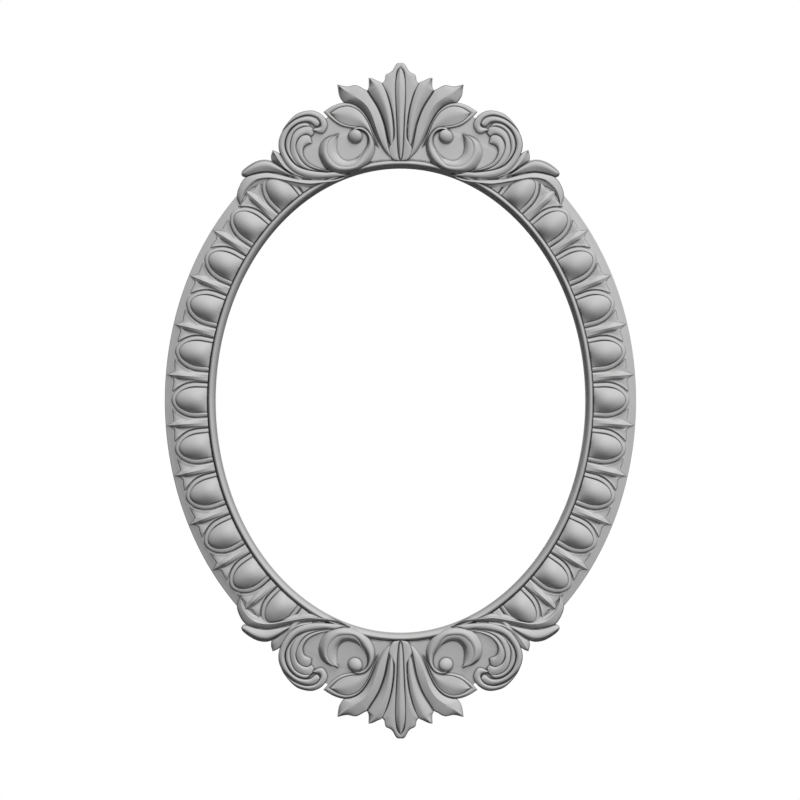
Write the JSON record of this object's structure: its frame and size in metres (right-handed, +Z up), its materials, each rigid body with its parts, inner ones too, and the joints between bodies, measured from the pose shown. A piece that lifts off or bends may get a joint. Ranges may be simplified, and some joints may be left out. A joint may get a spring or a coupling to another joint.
{
  "type": "carved oval picture frame",
  "caption": "Oval wooden picture frame carved with egg and dart, with a leaf and scroll crest at the top and bottom, turn buttons and a ring hanger on its back.",
  "frame": {"origin": "where a wall hook bears, at the top of the inside of the hanger ring", "axes": "+Z up the frame's tall side, +Y into the wall, -Y out of the carved face, +X to the right as seen from the front"},
  "size_m": [0.509, 0.0369, 0.7314],
  "materials": {
    "painted_carving": "carved wood under one smooth satin coat of light grey paint",
    "bare_wood": "bare beech, unfinished",
    "brass": "stamped brass, satin",
    "steel": "bright zinc-plated steel",
    "felt": "dark grey wool felt"
  },
  "bodies": {
    "frame": {"rail_upper_right": "painted_carving", "rail_upper_left": "painted_carving", "rail_lower_left": "painted_carving", "rail_lower_right": "painted_carving", "top_crest_board": "painted_carving", "top_palmette": "painted_carving", "top_palmette_rib": "painted_carving", "top_calyx_leaf_left": "painted_carving", "top_c_scroll_left": "painted_carving", "top_feather_scroll_left": "painted_carving", "top_spray_leaf_left": "painted_carving", "top_calyx_leaf_right": "painted_carving", "top_c_scroll_right": "painted_carving", "top_feather_scroll_right": "painted_carving", "top_spray_leaf_right": "painted_carving", "bottom_crest_board": "painted_carving", "bottom_palmette": "painted_carving", "bottom_palmette_rib": "painted_carving", "bottom_calyx_leaf_left": "painted_carving", "bottom_c_scroll_left": "painted_carving", "bottom_feather_scroll_left": "painted_carving", "bottom_spray_leaf_left": "painted_carving", "bottom_calyx_leaf_right": "painted_carving", "bottom_c_scroll_right": "painted_carving", "bottom_feather_scroll_right": "painted_carving", "bottom_spray_leaf_right": "painted_carving", "egg_and_dart_left": "painted_carving", "egg_and_dart_right": "painted_carving", "tongue_right": "bare_wood", "tongue_top": "bare_wood", "tongue_left": "bare_wood", "tongue_bottom": "bare_wood", "dowel_top_left": "bare_wood", "dowel_top_right": "bare_wood", "dowel_bottom_left": "bare_wood", "dowel_bottom_right": "bare_wood", "button_screw_upper_right": "steel", "button_screw_upper_left": "steel", "button_screw_lower_left": "steel", "button_screw_lower_right": "steel", "hanger_plate": "steel", "hanger_screw_left": "steel", "hanger_screw_right": "steel", "bumper_left": "felt", "bumper_right": "felt"},
    "turn_button_upper_right": {"turn_button_upper_right": "brass"},
    "turn_button_upper_left": {"turn_button_upper_left": "brass"},
    "turn_button_lower_left": {"turn_button_lower_left": "brass"},
    "turn_button_lower_right": {"turn_button_lower_right": "brass"},
    "hanger_ring": {"hanger_ring": "steel"}
  },
  "joints": [
    {"name": "turn_button_upper_right_pivot", "type": "hinge", "parent": "frame", "child": "turn_button_upper_right", "pos_m": [0.171, -0.0019, -0.11058], "axis": [0, 1, 0], "continuous": true},
    {"name": "turn_button_upper_left_pivot", "type": "hinge", "parent": "frame", "child": "turn_button_upper_left", "pos_m": [-0.171, -0.0019, -0.11058], "axis": [0, 1, 0], "continuous": true},
    {"name": "turn_button_lower_left_pivot", "type": "hinge", "parent": "frame", "child": "turn_button_lower_left", "pos_m": [-0.171, -0.0019, -0.48042], "axis": [0, 1, 0], "continuous": true},
    {"name": "turn_button_lower_right_pivot", "type": "hinge", "parent": "frame", "child": "turn_button_lower_right", "pos_m": [0.171, -0.0019, -0.48042], "axis": [0, 1, 0], "continuous": true},
    {"name": "hanger_ring_swing", "type": "hinge", "parent": "frame", "child": "hanger_ring", "pos_m": [0, 0, -0.0176], "axis": [-1, 0, 0], "range_deg": [0, 160]}
  ]
}
